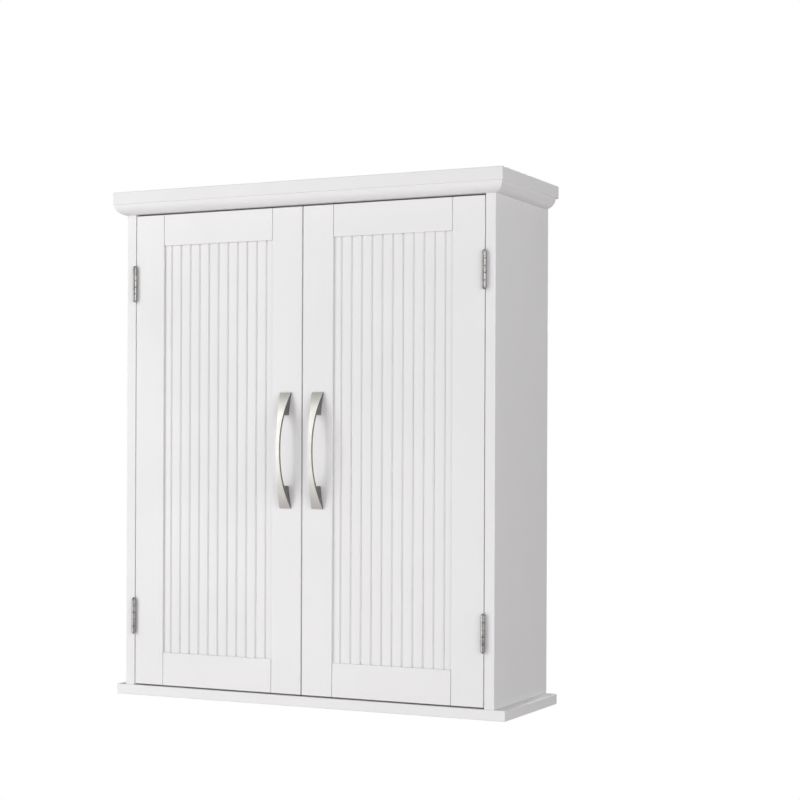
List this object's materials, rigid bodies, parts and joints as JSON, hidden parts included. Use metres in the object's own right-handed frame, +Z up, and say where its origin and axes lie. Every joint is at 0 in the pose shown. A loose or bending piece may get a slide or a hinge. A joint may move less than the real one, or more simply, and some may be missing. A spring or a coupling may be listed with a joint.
{
  "type": "hanging wall cabinet",
  "caption": "Shallow wall-hung cabinet: inset bead-board doors on butt hinges, bow handles, moulded crown, overhanging base and an adjustable shelf.",
  "frame": {"origin": "middle of the four wall-fixing holes, on the wall plane", "axes": "+Z up, the doors face -Y and the wall is the plane Y = 0, +X to the right seen from the front"},
  "size_m": [0.508, 0.186, 0.61],
  "materials": {
    "painted_board": "white satin paint on fibreboard",
    "hardboard": "bare hardboard, white inner face",
    "dowel_wood": "bare beech",
    "zinc_alloy": "bare die-cast zinc alloy",
    "plated_steel": "zinc plated",
    "hinge_steel": "polished nickel plate",
    "catch_plastic": "moulded matt",
    "ferrite": "sintered, matt",
    "catch_steel": "nickel plated",
    "satin_nickel": "satin nickel plate"
  },
  "bodies": {
    "carcass": {"side_panel_left": "painted_board", "side_panel_right": "painted_board", "base_board": "painted_board", "top_panel": "painted_board", "crown_board": "painted_board", "crown_moulding_front": "painted_board", "crown_moulding_left": "painted_board", "crown_moulding_right": "painted_board", "back_panel": "hardboard", "hanging_rail_upper": "painted_board", "hanging_rail_lower": "painted_board", "dowels": "dowel_wood", "cam_bolts": "plated_steel", "cam_locks": "zinc_alloy", "base_screws": "plated_steel", "crown_screws": "plated_steel", "back_panel_nails": "plated_steel", "shelf_pins": "plated_steel", "frame_leaf_left_upper": "hinge_steel", "frame_leaf_left_lower": "hinge_steel", "frame_leaf_right_upper": "hinge_steel", "frame_leaf_right_lower": "hinge_steel", "hinge_pin_left_upper": "hinge_steel", "hinge_pin_left_lower": "hinge_steel", "hinge_pin_right_upper": "hinge_steel", "hinge_pin_right_lower": "hinge_steel", "frame_leaf_screws": "hinge_steel", "catch_housing_left": "catch_plastic", "catch_housing_right": "catch_plastic", "catch_magnet_left": "ferrite", "catch_magnet_right": "ferrite", "catch_pole_plates": "catch_steel", "catch_screws": "plated_steel"},
    "shelf": {"shelf": "painted_board"},
    "left_door": {"left_hinge_stile": "painted_board", "left_lock_stile": "painted_board", "left_top_rail": "painted_board", "left_bottom_rail": "painted_board", "left_bead_panel": "painted_board", "left_door_leaf_upper": "hinge_steel", "left_door_leaf_lower": "hinge_steel", "left_door_leaf_screws": "hinge_steel", "left_handle": "satin_nickel", "left_handle_screws": "plated_steel", "left_strike_plate": "catch_steel", "left_strike_screw": "catch_steel"},
    "right_door": {"right_hinge_stile": "painted_board", "right_lock_stile": "painted_board", "right_top_rail": "painted_board", "right_bottom_rail": "painted_board", "right_bead_panel": "painted_board", "right_door_leaf_upper": "hinge_steel", "right_door_leaf_lower": "hinge_steel", "right_door_leaf_screws": "hinge_steel", "right_handle": "satin_nickel", "right_handle_screws": "plated_steel", "right_strike_plate": "catch_steel", "right_strike_screw": "catch_steel"}
  },
  "joints": [
    {"name": "left_door_hinge", "type": "hinge", "parent": "carcass", "child": "left_door", "pos_m": [-0.2285, -0.1678, 0], "axis": [0, 0, -1], "range_deg": [0, 180]},
    {"name": "right_door_hinge", "type": "hinge", "parent": "carcass", "child": "right_door", "pos_m": [0.2285, -0.1678, 0], "axis": [0, 0, 1], "range_deg": [0, 180]},
    {"name": "shelf_lift", "type": "slide", "parent": "carcass", "child": "shelf", "axis": [0, 0, 1], "range_m": [0, 0.025]}
  ]
}
